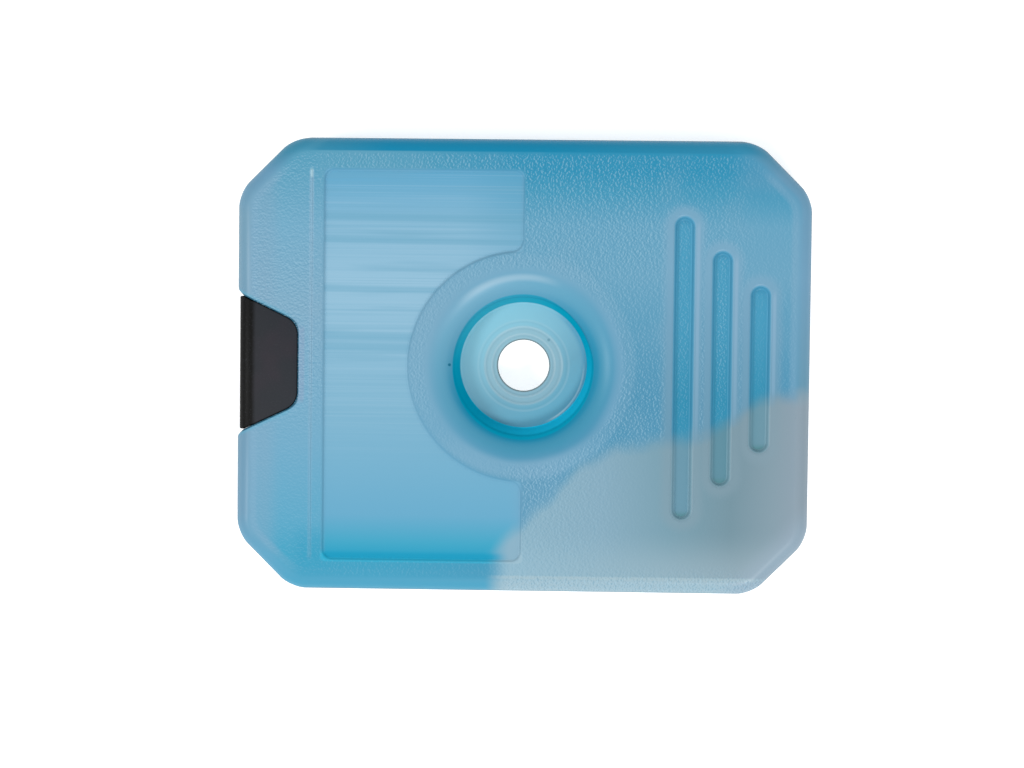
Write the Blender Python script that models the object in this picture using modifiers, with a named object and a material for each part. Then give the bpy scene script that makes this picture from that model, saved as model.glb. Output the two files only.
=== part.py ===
"""Reusable ice pack, lying on its back: a blow moulded shell full of gel.

The shell is one hollow moulding with a parting line at half its thickness.
Both faces dip into a round well, and the two wells are pinched together to a
web with a stepped hole through it.  The front has a bare label recess, a fine
ridge beside it and three grooves.  A notch in the left side holds the filler
neck with its plug, behind a black cover.

The front faces +Z, its upper side is +Y, and the back rests on z = 0.
"""

import math

import bmesh
import bpy
from mathutils import Vector

# Pack
LENGTH = 0.254
WIDTH = 0.201
THICKNESS = 0.038
CORNER_LEG = 0.0247
CORNER_RADIUS = 0.017
DRAFT = 0.0010
EDGE_RADIUS = 0.0062
WALL = 0.0020

# Centre well
WELL_RADIUS = 0.0430
FUNNEL_RADIUS = 0.0165
FUNNEL_SLOPE = math.radians(45)
SHOULDER_INNER_RADIUS = 0.0010
WELL_WALL_SLOPE = math.radians(77)
WEB_THICKNESS = 0.0040
OUTER_STEP_RADIUS = 0.0175
INNER_STEP_RADIUS = 0.0142
STEP_DEPTH = 0.0005
HOLE_RADIUS = 0.0114

# Label recess and the ridge beside it
RECESS_SIDE_MARGIN = 0.0392
RECESS_END_MARGIN = 0.0145
RECESS_DEPTH = 0.0010
RECESS_CORNER = 0.0035
RECESS_CUSP_RADIUS = 0.0055
WELL_ANNULUS = 0.0073
RIDGE_GAP = 0.0055
RIDGE_WIRE_RADIUS = 0.0007
RIDGE_HEIGHT = 0.0003

# Grooves
GROOVE_COUNT = 3
GROOVE_SIDE_MARGIN = 0.0233
GROOVE_PITCH = 0.01675
GROOVE_WIDTH = 0.0087
GROOVE_FLOOR_WIDTH = 0.0072
GROOVE_SHORTEST = 0.073
GROOVE_STEP = 0.030
GROOVE_DEPTH = 0.0028
GROOVE_LIP = 0.0008

# Notch and filler neck
NOTCH_DEPTH = 0.0286
NOTCH_FLOOR_WIDTH = 0.0376
NOTCH_SLOPE = math.radians(23)
NOTCH_RADIUS = 0.0060
NOTCH_FLARE_LENGTH = 0.0030
NOTCH_FLARE_SLOPE = math.radians(42)
NOTCH_EDGE = 0.0010
NECK_RADIUS = 0.0100
NECK_LENGTH = 0.0080
BORE_RADIUS = 0.0070

# Filler plug
PLUG_FLANGE = 0.0025
PLUG_WALL = 0.0016
PLUG_TAPER = 0.0008
PLUG_CLEARANCE = 0.0003

# Notch cover
COVER_SET_BACK = 0.0011
COVER_CLEARANCE = 0.0004
COVER_WALL = 0.0022
COVER_EDGE = 0.0005

# Gel, and the corners of the line where it ends at the air: place and rounding
GEL_CLEARANCE = 0.0003
AIR_START_X = -0.0120
AIR_END_Y = -0.0095
AIR_CORNERS = (
    (-0.0095, -0.0800, 0.040),
    (0.0310, -0.0385, 0.070),
    (0.0840, -0.0290, 0.030),
    (0.1060, AIR_END_Y, 0.022),
)

# Facets
ROUND_STEPS = 4
EDGE_STEPS = 4
FUNNEL_STEPS = 5
TURNED_STEPS = 48
SHOULDER_STEPS = 2
BEVEL_STEPS = 2
BEVEL_ANGLE = math.radians(40)
SMOOTH_ANGLE = math.radians(30)
OVERRUN = 0.005
FACE_OVERRUN = 0.0005
WELD = 0.0001
MERGE = 0.00001
FACING_DOWN = -0.99

HALF = THICKNESS / 2
WEB_HALF = WEB_THICKNESS / 2
RECESS_LEFT = -LENGTH / 2 + RECESS_SIDE_MARGIN
RECESS_TOP = WIDTH / 2 - RECESS_END_MARGIN
RIDGE_X = RECESS_LEFT - RIDGE_GAP
LAST_GROOVE_X = LENGTH / 2 - GROOVE_SIDE_MARGIN
NOTCH_FLOOR_X = -LENGTH / 2 + NOTCH_DEPTH
NECK_END_X = NOTCH_FLOOR_X - NECK_LENGTH


# Scene
def clear_scene():
    for obj in list(bpy.data.objects):
        bpy.data.objects.remove(obj, do_unlink=True)


def new_collection(name):
    group = bpy.data.collections.new(name)
    bpy.context.scene.collection.children.link(group)
    return group


def plastic(name, colour, roughness):
    material = bpy.data.materials.new(name)
    material.use_nodes = True
    shader = material.node_tree.nodes["Principled BSDF"]
    shader.inputs["Base Color"].default_value = (*colour, 1.0)
    shader.inputs["Roughness"].default_value = roughness
    shader.inputs["Metallic"].default_value = 0.0
    return material


def smooth_mesh(bm, name):
    """Turn a bmesh into a mesh that is smooth but for its real edges."""
    mesh = bpy.data.meshes.new(name)
    bm.to_mesh(mesh)
    bm.free()
    mesh.shade_smooth()
    mesh.set_sharp_from_angle(angle=SMOOTH_ANGLE)
    return mesh


class Workshop:
    """The two collections, and the centre of the pack that all is measured from."""

    def __init__(self):
        self.parts = new_collection("ice_pack")
        self.tools = new_collection("ice_pack_tools")
        self.centre = bpy.data.objects.new("pack_centre", None)
        self.centre.location.z = HALF
        self.parts.objects.link(self.centre)

    def part(self, name, mesh, material):
        obj = bpy.data.objects.new(name, mesh)
        mesh.materials.append(material)
        obj.parent = self.centre
        self.parts.objects.link(obj)
        return obj

    def tool(self, name, mesh):
        """A cutter: drawn as wire and kept out of the render."""
        obj = bpy.data.objects.new(name, mesh)
        obj.parent = self.centre
        obj.hide_render = True
        obj.display_type = "WIRE"
        self.tools.objects.link(obj)
        return obj


def apply_tool(obj, tool, operation):
    modifier = obj.modifiers.new(tool.name, "BOOLEAN")
    modifier.operation = operation
    modifier.solver = "EXACT"
    modifier.object = tool


def cut(obj, *tools):
    for tool in tools:
        apply_tool(obj, tool, "DIFFERENCE")


# Outlines
def arc(centre, radius, start, end, steps):
    """Points on an arc, both ends included, with angles in radians."""
    points = []
    for k in range(steps + 1):
        angle = start + (end - start) * k / steps
        points.append(centre + radius * Vector((math.cos(angle), math.sin(angle))))
    return points


def rounded_corner(before, corner, after, radius):
    """The arc that takes the place of one corner of an outline."""
    to_before = (before - corner).normalized()
    to_after = (after - corner).normalized()
    half_angle = to_before.angle(to_after) / 2
    centre = corner + (to_before + to_after).normalized() * radius / math.sin(half_angle)
    start = corner + to_before * radius / math.tan(half_angle) - centre
    first = math.atan2(start.y, start.x)
    turn = math.pi - 2 * half_angle
    if to_before.cross(to_after) > 0:
        turn = -turn
    return arc(centre, radius, first, first + turn, ROUND_STEPS)


def notch_outline(grow, mouth_slope):
    """The notch seen from the front, grown all round and open past the side."""
    floor_x = NOTCH_FLOOR_X + grow
    slope = math.tan(NOTCH_SLOPE)
    floor_half = NOTCH_FLOOR_WIDTH / 2 + grow / math.cos(NOTCH_SLOPE) - grow * slope
    flare_x = -LENGTH / 2 + NOTCH_FLARE_LENGTH
    flare_half = floor_half + (floor_x - flare_x) * slope
    mouth_x = -LENGTH / 2 - OVERRUN
    mouth_half = flare_half + (flare_x - mouth_x) * math.tan(mouth_slope)
    mouth_top = Vector((mouth_x, mouth_half))
    flare_top = Vector((flare_x, flare_half))
    floor_top = Vector((floor_x, floor_half))
    floor_bottom = Vector((floor_x, -floor_half))
    flare_bottom = Vector((flare_x, -flare_half))
    mouth_bottom = Vector((mouth_x, -mouth_half))
    radius = NOTCH_RADIUS + grow
    return [
        mouth_bottom,
        flare_bottom,
        *rounded_corner(flare_bottom, floor_bottom, floor_top, radius),
        *rounded_corner(floor_bottom, floor_top, flare_top, radius),
        flare_top,
        mouth_top,
    ]


def recess_outline(grow):
    """The label recess: a rounded rectangle kept clear of the centre well."""
    left = RECESS_LEFT - grow
    right = grow
    top = RECESS_TOP + grow
    corner = RECESS_CORNER + grow
    clear = WELL_RADIUS + WELL_ANNULUS - grow
    cusp = RECESS_CUSP_RADIUS + grow
    cusp_x = right - cusp
    cusp_y = math.sqrt((clear + cusp) ** 2 - cusp_x**2)
    meet = math.atan2(cusp_y, cusp_x)
    top_left = Vector((left, top))
    top_right = Vector((right, top))
    bottom_right = Vector((right, -top))
    bottom_left = Vector((left, -top))
    return [
        *rounded_corner(bottom_left, top_left, top_right, corner),
        *rounded_corner(top_left, top_right, bottom_right, corner),
        *arc(Vector((cusp_x, cusp_y)), cusp, 0.0, meet - math.pi, ROUND_STEPS),
        *arc(Vector((0.0, 0.0)), clear, meet, 2 * math.pi - meet, TURNED_STEPS // 2)[1:-1],
        *arc(Vector((cusp_x, -cusp_y)), cusp, math.pi - meet, 0.0, ROUND_STEPS),
        *rounded_corner(top_right, bottom_right, bottom_left, corner),
        *rounded_corner(bottom_right, bottom_left, top_left, corner),
    ]


def air_outline():
    """The corner of the pack that the gel leaves to the air."""
    start = Vector((AIR_START_X, -WIDTH / 2 - OVERRUN))
    end = Vector((LENGTH / 2 + OVERRUN, AIR_END_Y))
    corners = [start, *(Vector(corner[:2]) for corner in AIR_CORNERS), end]
    radii = [corner[2] for corner in AIR_CORNERS]
    outline = [start]
    for before, corner, after, radius in zip(corners, corners[1:], corners[2:], radii):
        outline.extend(rounded_corner(before, corner, after, radius))
    outline.append(end)
    outline.append(Vector((end.x, start.y)))
    return outline


def slab(shop, name, outline, low, high):
    """A cutter with a flat outline, from one height to another."""
    curve = bpy.data.curves.new(name, "CURVE")
    curve.dimensions = "2D"
    curve.fill_mode = "BOTH"
    curve.extrude = (high - low) / 2
    spline = curve.splines.new("POLY")
    spline.points.add(len(outline) - 1)
    for point, place in zip(spline.points, outline):
        point.co = (place.x, place.y, 0.0, 1.0)
    spline.use_cyclic_u = True
    flat = bpy.data.objects.new(name + "_outline", curve)
    flat.location.z = (high + low) / 2
    return tool_from_curve(shop, name, flat)


def wire(shop, name, start, end, radius):
    """A fine round wire between two points."""
    curve = bpy.data.curves.new(name, "CURVE")
    curve.dimensions = "3D"
    curve.bevel_depth = radius
    curve.bevel_resolution = BEVEL_STEPS
    curve.use_fill_caps = True
    spline = curve.splines.new("POLY")
    spline.points.add(1)
    spline.points[0].co = (*start, 1.0)
    spline.points[1].co = (*end, 1.0)
    line = bpy.data.objects.new(name + "_line", curve)
    return tool_from_curve(shop, name, line)


def round_bar(shop, name, low_x, high_x, radius):
    """A round bar along X, on the middle of the pack's thickness."""
    bm = bmesh.new()
    bmesh.ops.create_cone(
        bm,
        cap_ends=True,
        segments=TURNED_STEPS,
        radius1=radius,
        radius2=radius,
        depth=high_x - low_x,
    )
    bar = shop.tool(name, smooth_mesh(bm, name))
    bar.rotation_euler.y = math.pi / 2
    bar.location.x = (low_x + high_x) / 2
    return bar


def tool_from_curve(shop, name, curve_object):
    """Make a curve a closed mesh where it lies, and take the curve away."""
    shop.tools.objects.link(curve_object)
    bpy.context.view_layer.update()
    depsgraph = bpy.context.evaluated_depsgraph_get()
    mesh = bpy.data.meshes.new_from_object(curve_object.evaluated_get(depsgraph))
    bm = bmesh.new()
    bm.from_mesh(mesh)
    bmesh.ops.remove_doubles(bm, verts=bm.verts, dist=MERGE)
    bmesh.ops.recalc_face_normals(bm, faces=bm.faces)
    tool = shop.tool(name, smooth_mesh(bm, name))
    tool.matrix_local = curve_object.matrix_world
    bpy.data.objects.remove(curve_object, do_unlink=True)
    return tool


# Turned shapes
def turned_mesh(name, profile):
    """The (radius, height) points of a section, running down its outer side."""
    bm = bmesh.new()
    verts = [bm.verts.new((radius, 0.0, height)) for radius, height in profile]
    for upper, lower in zip(verts, verts[1:]):
        bm.edges.new((upper, lower))
    return smooth_mesh(bm, name)


def turn(obj):
    """Turn an object's section about its own Z axis."""
    screw = obj.modifiers.new("Turn", "SCREW")
    screw.steps = TURNED_STEPS
    screw.render_steps = TURNED_STEPS
    screw.use_merge_vertices = True
    screw.merge_threshold = WELD
    screw.use_smooth_shade = True
    return obj


def well_side(grow):
    """Half section of a well, from above its face to the top of its wall."""
    rim = Vector((WELL_RADIUS, HALF - FUNNEL_RADIUS))
    level = math.pi / 2
    funnel_end = level + FUNNEL_SLOPE
    funnel = arc(rim, FUNNEL_RADIUS - grow, level, funnel_end, FUNNEL_STEPS)
    shoulder_radius = SHOULDER_INNER_RADIUS + WALL
    along = Vector((math.cos(funnel_end), math.sin(funnel_end)))
    shoulder = rim + along * (FUNNEL_RADIUS - shoulder_radius)
    bend_end = level + WELL_WALL_SLOPE
    bend = arc(shoulder, shoulder_radius - grow, funnel_end, bend_end, SHOULDER_STEPS)
    lead_in = funnel[0] * 2 - funnel[1]
    return [Vector((lead_in.x, HALF + OVERRUN)), lead_in, *funnel, *bend[1:]]


def foot_of_wall(side, height):
    """Where a well's straight wall reaches a height."""
    top = side[-1]
    return Vector((top.x - (top.y - height) / math.tan(WELL_WALL_SLOPE), height))


def whole_section(upper):
    """Both halves of a section from its upper half, as pairs of numbers."""
    points = [(point.x, point.y) for point in upper]
    points.extend((point.x, -point.y) for point in reversed(upper) if point.y > MERGE)
    return points


def wells_and_hole(shop):
    """What the two wells and the stepped hole take out of the pack."""
    side = well_side(0.0)
    outer_floor = WEB_HALF - STEP_DEPTH
    inner_floor = outer_floor - STEP_DEPTH
    upper = [
        Vector((0.0, HALF + OVERRUN)),
        *side,
        foot_of_wall(side, WEB_HALF),
        Vector((OUTER_STEP_RADIUS, WEB_HALF)),
        Vector((OUTER_STEP_RADIUS, outer_floor)),
        Vector((INNER_STEP_RADIUS, outer_floor)),
        Vector((INNER_STEP_RADIUS, inner_floor)),
        Vector((HOLE_RADIUS, inner_floor)),
    ]
    return turn(shop.tool("wells_and_hole", turned_mesh("wells_and_hole", whole_section(upper))))


def well_core(shop, name, grow):
    """What the walls and the web of the wells take out of the inside."""
    side = well_side(grow)
    upper = [Vector((0.0, HALF + OVERRUN)), *side, foot_of_wall(side, 0.0)]
    return turn(shop.tool(name, turned_mesh(name, whole_section(upper))))


# Moulded form
def upright_edges(verts):
    edges = {edge for vert in verts for edge in vert.link_edges}
    return [edge for edge in edges if (edge.verts[0].co - edge.verts[1].co).xy.length < MERGE]


def step_faces(bm, faces, steps):
    """Draw a face in and push it out, step by step, as (draw in, push) pairs."""
    for draw_in, push in steps:
        bmesh.ops.inset_region(
            bm, faces=faces, thickness=draw_in, depth=push, use_boundary=True, use_even_offset=True
        )


def bevel_corners(bm, offset, segments):
    """Cut every corner of a flat face, or round it where there are more segments."""
    bmesh.ops.bevel(
        bm,
        geom=bm.verts[:],
        offset=offset,
        segments=segments,
        profile=0.5,
        affect="VERTICES",
        material=-1,
    )


def pack_half(name, inset):
    """The front half of the plain pack, drawn in by inset, open at the parting line."""
    bm = bmesh.new()
    bmesh.ops.create_grid(bm, x_segments=1, y_segments=1, size=0.5)
    bmesh.ops.scale(bm, vec=(LENGTH - 2 * inset, WIDTH - 2 * inset, 1.0), verts=bm.verts)
    bevel_corners(bm, CORNER_LEG - inset * (2 - math.sqrt(2)), 1)
    bevel_corners(bm, (CORNER_RADIUS - inset) * math.tan(math.pi / 8), ROUND_STEPS)
    radius = EDGE_RADIUS - inset
    steps = [(DRAFT, HALF - EDGE_RADIUS)]
    for k in range(EDGE_STEPS):
        before = math.pi / 2 * k / EDGE_STEPS
        after = math.pi / 2 * (k + 1) / EDGE_STEPS
        draw_in = radius * (math.cos(before) - math.cos(after))
        rise = radius * (math.sin(after) - math.sin(before))
        steps.append((draw_in, rise))
    step_faces(bm, bm.faces[:], steps)
    return smooth_mesh(bm, name)


def mirror_half(obj):
    mirror = obj.modifiers.new("Back half", "MIRROR")
    mirror.use_axis = (False, False, True)
    mirror.merge_threshold = WELD
    return obj


def bevel_edges(obj, name, width):
    edge = obj.modifiers.new(name, "BEVEL")
    edge.width = width
    edge.segments = BEVEL_STEPS
    edge.limit_method = "ANGLE"
    edge.angle_limit = BEVEL_ANGLE


def add_groove(bm, x, width, length, low, steps):
    """A bar with round ends over the face, stepped down into a groove."""
    high = HALF + OVERRUN
    made = bmesh.ops.create_cube(bm, size=1.0)
    bmesh.ops.scale(bm, vec=(width, length, high - low), verts=made["verts"])
    bmesh.ops.translate(bm, vec=(x, 0.0, (high + low) / 2), verts=made["verts"])
    bmesh.ops.bevel(
        bm,
        geom=upright_edges(made["verts"]),
        offset=width / 2 - MERGE,
        segments=2 * ROUND_STEPS,
        profile=0.5,
        affect="EDGES",
        material=-1,
    )
    bmesh.ops.remove_doubles(bm, verts=bm.verts, dist=4 * MERGE)
    bm.normal_update()
    bottom = [
        face
        for face in bm.faces
        if face.normal.z < FACING_DOWN and abs(face.calc_center_median().x - x) < MERGE
    ]
    step_faces(bm, bottom, steps)


def groove_tool(shop, name, grow):
    """The grooves, shortest nearest the side: soft lips and sloping walls."""
    lip = GROOVE_LIP + FACE_OVERRUN
    wall_slope = (GROOVE_WIDTH - GROOVE_FLOOR_WIDTH) / 2
    steps = [(lip, lip), (wall_slope, GROOVE_DEPTH - GROOVE_LIP)]
    spread = 2 * (lip + grow)
    bm = bmesh.new()
    for index in range(GROOVE_COUNT):
        x = LAST_GROOVE_X - index * GROOVE_PITCH
        length = GROOVE_SHORTEST + index * GROOVE_STEP
        low = HALF - grow + FACE_OVERRUN
        add_groove(bm, x, GROOVE_WIDTH + spread, length + spread, low, steps)
    return shop.tool(name, smooth_mesh(bm, name))


def recess_tool(shop, name, grow):
    return slab(shop, name, recess_outline(grow), HALF - RECESS_DEPTH - grow, HALF + OVERRUN)


def notch_tool(shop, name, grow, mouth_slope=NOTCH_FLARE_SLOPE):
    outline = notch_outline(grow, mouth_slope)
    return slab(shop, name, outline, -HALF - OVERRUN, HALF + OVERRUN)


def cut_inside(shop, obj, grow):
    """Leave the room that the moulding's walls take, for the hollow and the gel."""
    cut(
        obj,
        notch_tool(shop, obj.name + "_notch", grow),
        well_core(shop, obj.name + "_well", grow),
        groove_tool(shop, obj.name + "_grooves", grow),
        recess_tool(shop, obj.name + "_recess", grow),
    )


# Pieces
def make_shell(shop):
    """The blow moulded shell with its wells, hole, recess, grooves, notch and neck."""
    material = plastic("translucent_shell", (0.36, 0.62, 0.74), 0.38)
    shell = mirror_half(shop.part("pack_shell", pack_half("pack_shell", 0.0), material))
    cut(shell, notch_tool(shop, "notch", 0.0))
    bevel_edges(shell, "Notch edge", NOTCH_EDGE)
    neck = round_bar(shop, "filler_neck", NECK_END_X, NOTCH_FLOOR_X + WALL / 2, NECK_RADIUS)
    ridge_z = HALF + RIDGE_HEIGHT - RIDGE_WIRE_RADIUS
    ridge = wire(
        shop,
        "ridge",
        (RIDGE_X, -RECESS_TOP, ridge_z),
        (RIDGE_X, RECESS_TOP, ridge_z),
        RIDGE_WIRE_RADIUS,
    )
    apply_tool(shell, neck, "UNION")
    apply_tool(shell, ridge, "UNION")
    hollow = mirror_half(shop.tool("hollow", pack_half("hollow", WALL)))
    cut_inside(shop, hollow, WALL)
    bore_end = NOTCH_FLOOR_X + 2 * WALL
    bore = round_bar(shop, "filler_bore", NECK_END_X - OVERRUN, bore_end, BORE_RADIUS)
    cut(
        shell,
        wells_and_hole(shop),
        groove_tool(shop, "grooves", 0.0),
        recess_tool(shop, "label_recess", 0.0),
        hollow,
        bore,
    )
    return shell


def make_gel(shop):
    """The gel: it fills the hollow but for the air in one corner."""
    material = plastic("blue_gel", (0.05, 0.45, 0.62), 0.15)
    inset = WALL + GEL_CLEARANCE
    gel = mirror_half(shop.part("gel_fill", pack_half("gel_fill", inset), material))
    cut_inside(shop, gel, inset)
    cut(gel, slab(shop, "air", air_outline(), -HALF - OVERRUN, HALF + OVERRUN))
    return gel


def make_plug(shop):
    """The push-in plug: a flange on the neck and a hollow, tapered spigot."""
    material = plastic("plug_plastic", (0.82, 0.84, 0.84), 0.45)
    seat = PLUG_CLEARANCE
    spigot = BORE_RADIUS - PLUG_CLEARANCE
    tip = -NECK_LENGTH
    inside = spigot - PLUG_WALL
    profile = [
        (0.0, seat + PLUG_FLANGE),
        (NECK_RADIUS - PLUG_TAPER, seat + PLUG_FLANGE),
        (NECK_RADIUS, seat + PLUG_FLANGE - PLUG_TAPER),
        (NECK_RADIUS, seat),
        (spigot, seat),
        (spigot, tip + PLUG_TAPER),
        (spigot - PLUG_TAPER, tip),
        (inside - PLUG_TAPER, tip),
        (inside, seat),
        (0.0, seat),
    ]
    plug = turn(shop.part("filler_plug", turned_mesh("filler_plug", profile), material))
    plug.location.x = NECK_END_X
    plug.rotation_euler.y = -math.pi / 2
    return plug


def make_cover(shop):
    """The black cover: a hood over the neck and plug, open towards the pack."""
    material = plastic("black_cover", (0.045, 0.048, 0.052), 0.55)
    half = pack_half("notch_cover", COVER_SET_BACK)
    cover = mirror_half(shop.part("notch_cover", half, material))
    outside = notch_tool(shop, "cover_outside", -COVER_CLEARANCE, mouth_slope=NOTCH_SLOPE)
    apply_tool(cover, outside, "INTERSECT")
    bevel_edges(cover, "Cover edges", COVER_EDGE)
    room_half = pack_half("cover_room", COVER_SET_BACK + COVER_WALL)
    room = mirror_half(shop.tool("cover_room", room_half))
    apply_tool(room, cover_room_plan(shop), "INTERSECT")
    cut(cover, room)
    return cover


def cover_room_plan(shop):
    """The cover's inside seen from the front, open past its inner edge."""
    shift = COVER_CLEARANCE + COVER_WALL
    slope = math.tan(NOTCH_SLOPE)
    narrow_x = NOTCH_FLOOR_X + OVERRUN
    wide_x = -LENGTH / 2
    floor_half = NOTCH_FLOOR_WIDTH / 2 - shift / math.cos(NOTCH_SLOPE)
    narrow = floor_half - (narrow_x - NOTCH_FLOOR_X) * slope
    wide = floor_half + (NOTCH_FLOOR_X - wide_x) * slope
    outline = [
        Vector((wide_x, -wide)),
        Vector((narrow_x, -narrow)),
        Vector((narrow_x, narrow)),
        Vector((wide_x, wide)),
    ]
    return slab(shop, "cover_room_plan", outline, -HALF, HALF)


def main():
    clear_scene()
    shop = Workshop()
    make_shell(shop)
    make_gel(shop)
    make_plug(shop)
    make_cover(shop)


main()
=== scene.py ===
"""Reusable ice pack of translucent blue plastic, lying on its back on a white table.

Two pieces show: the moulded body, and the black cover of its filler notch. The gel and the
plug stand inside them as they are in the part. Shapes are measured in metres from the
middle of the pack's thickness until they are placed, and the materials measure in
millimetres from the back face.
"""

import math

import bmesh
import bpy
from mathutils import Matrix, Vector


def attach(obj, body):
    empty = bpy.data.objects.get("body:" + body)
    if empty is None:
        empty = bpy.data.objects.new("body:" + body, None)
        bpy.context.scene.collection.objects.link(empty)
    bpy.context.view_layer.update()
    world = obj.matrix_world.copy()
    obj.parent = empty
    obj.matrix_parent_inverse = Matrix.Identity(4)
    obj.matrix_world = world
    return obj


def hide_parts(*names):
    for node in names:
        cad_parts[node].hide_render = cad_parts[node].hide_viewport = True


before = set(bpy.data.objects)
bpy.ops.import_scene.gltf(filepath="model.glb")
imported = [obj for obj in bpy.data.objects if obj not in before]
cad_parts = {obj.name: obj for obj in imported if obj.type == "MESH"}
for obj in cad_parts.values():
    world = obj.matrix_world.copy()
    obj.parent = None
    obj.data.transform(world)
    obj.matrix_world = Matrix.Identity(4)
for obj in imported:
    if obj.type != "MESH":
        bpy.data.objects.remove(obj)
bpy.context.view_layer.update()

# Pack
LENGTH = 0.254
WIDTH = 0.201
THICKNESS = 0.038
HALF = THICKNESS / 2
CORNER_LEG = 0.0247
CORNER_RADIUS = 0.017
DRAFT = 0.0008
EDGE_RADIUS = 0.0062
SEAM_PROUD = 0.0002
SEAM_FLAT = 0.00015
SEAM_SLOPE = 0.0003

# Centre well
WELL_RADIUS = 0.0430
FUNNEL_RADIUS = 0.0165
FUNNEL_SLOPE = math.radians(45)
SHOULDER_RADIUS = 0.0030
WALL_SLOPE = math.radians(77)
WELL_FOOT = 0.0011
WEB_HALF = 0.0020
OUTER_STEP_RADIUS = 0.0175
INNER_STEP_RADIUS = 0.0142
STEP_DEPTH = 0.0005
STEP_RUN = 0.0010
STEP_ROUND = 0.0005
HOLE_RADIUS = 0.0114
HOLE_ROUND = 0.0003

# Label recess and the ridge beside it
RECESS_LEFT = -LENGTH / 2 + 0.0392
RECESS_TOP = WIDTH / 2 - 0.0145
RECESS_DEPTH = 0.0010
RECESS_CORNER = 0.0044
RECESS_CUSP = 0.0055
RECESS_CLEAR = WELL_RADIUS + 0.0073
RECESS_SPREAD = 0.0008
RECESS_ROUND = 0.0008
RECESS_SLOPE = math.radians(50)
RIDGE_X = RECESS_LEFT - 0.0055
RIDGE_WIDTH = 0.00115
RIDGE_HEIGHT = 0.0003
RIDGE_ROUND = 0.0002
RIDGE_SLOPE = math.radians(50)

# Grooves, the last one nearest the side
GROOVE_X = (0.0702, 0.08695, 0.1037)
GROOVE_LENGTH = (0.133, 0.103, 0.073)
GROOVE_WIDTH = 0.0087
GROOVE_DEPTH = 0.0028
GROOVE_SPREAD = 0.0014
GROOVE_LIP = 0.0016
GROOVE_FOOT = 0.0009
GROOVE_SLOPE = math.radians(70)

# Notch and filler neck
NOTCH_FLOOR_X = -LENGTH / 2 + 0.0279
NOTCH_FLOOR_WIDTH = 0.0360
NOTCH_MIDDLE_Y = 0.0004
NOTCH_SLOPE = math.radians(25.6)
NOTCH_RADIUS = 0.0082
FLARE_X = -LENGTH / 2 + 0.0040
FLARE_SLOPE = math.radians(42)
NOTCH_EDGE = 0.0009
NECK_RADIUS = 0.0100
NECK_END_X = -LENGTH / 2 + 0.0206
BORE_RADIUS = 0.0070
BORE_DEPTH = 0.0040

# Notch cover
COVER_SET_BACK = 0.0010
COVER_CLEARANCE = 0.00015
COVER_WALL = 0.0022
COVER_EDGE = 0.0005

# Facets: steps of a corner, the rim, a lip, a bevel and one turn
ARC_STEPS = 12
RIM_STEPS = 14
LIP_STEPS = 5
BEVEL_STEPS = 3
TURNED_STEPS = 144
SHARP_ANGLE = math.radians(38)
BEVEL_ANGLE = math.radians(45)

# Working lengths: a narrow band that keeps the shading of a flat face flat, the reach of a
# tool past what it cuts, and the distance at which two corners are one
SUPPORT = 0.0003
OVERRUN = 0.005
MERGE = 0.00001

# The least upward share of a face that counts as level
LEVEL = 0.999


# Meshes
def cap(bm, edges):
    """A flat face inside a closed line, looking up."""
    face = bmesh.ops.contextual_create(bm, geom=edges)["faces"][0]
    face.normal_update()
    if face.normal.z < 0:
        face.normal_flip()
    return face


def round_corners(bm, verts, offset, segments):
    """Cut or round the corners of a flat face, which start at offset from each corner."""
    bmesh.ops.bevel(
        bm,
        geom=verts,
        offset=offset,
        segments=segments,
        profile=0.5,
        affect="VERTICES",
        material=-1,
    )


def step_face(bm, face, steps):
    """Draw a face in and push it out, step by step, as (draw in, push) pairs."""
    for draw_in, push in steps:
        bmesh.ops.inset_region(
            bm, faces=[face], thickness=draw_in, depth=push, use_boundary=True, use_even_offset=True
        )


def quarter_round(radius, steps):
    """The pairs that turn a wall into a flat face over a quarter circle."""
    pairs = []
    for k in range(steps):
        before = math.pi / 2 * k / steps
        after = math.pi / 2 * (k + 1) / steps
        draw_in = radius * (math.cos(before) - math.cos(after))
        rise = radius * (math.sin(after) - math.sin(before))
        pairs.append((draw_in, rise))
    return pairs


def soft_step(height, lip, foot, slope):
    """The pairs of a step up or down, with a rounded lip and a rounded foot."""
    way = math.copysign(1.0, height)
    lip_run = lip * math.sin(slope)
    lip_fall = lip * (1 - math.cos(slope))
    foot_run = foot * math.sin(slope)
    foot_fall = foot * (1 - math.cos(slope))
    straight = abs(height) - lip_fall - foot_fall
    places = []
    for k in range(LIP_STEPS + 1):
        angle = slope * k / LIP_STEPS
        places.append((lip * math.sin(angle), lip * (1 - math.cos(angle))))
    foot_x = lip_run + straight / math.tan(slope) + foot_run
    for k in range(LIP_STEPS, -1, -1):
        angle = slope * k / LIP_STEPS
        places.append((foot_x - foot * math.sin(angle), abs(height) - foot * (1 - math.cos(angle))))
    pairs = [(SUPPORT, 0.0)]
    for (x0, y0), (x1, y1) in zip(places, places[1:]):
        pairs.append((x1 - x0, way * (y1 - y0)))
    pairs.append((SUPPORT, 0.0))
    return pairs


def settle(obj, tools=()):
    """Apply an object's modifiers, take it and its tools away, and keep the mesh."""
    bpy.context.view_layer.update()
    depsgraph = bpy.context.evaluated_depsgraph_get()
    mesh = bpy.data.meshes.new_from_object(obj.evaluated_get(depsgraph))
    for used in (obj, *tools):
        bpy.data.objects.remove(used, do_unlink=True)
    return mesh


def place(name, bm):
    """Make an object of a bmesh."""
    mesh = bpy.data.meshes.new(name)
    bm.to_mesh(mesh)
    bm.free()
    obj = bpy.data.objects.new(name, mesh)
    bpy.context.scene.collection.objects.link(obj)
    return obj


def apply_tool(obj, tool, operation):
    """Let a tool cut, join or keep its share of an object."""
    modifier = obj.modifiers.new(tool.name, "BOOLEAN")
    modifier.operation = operation
    modifier.solver = "EXACT"
    modifier.object = tool


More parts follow.
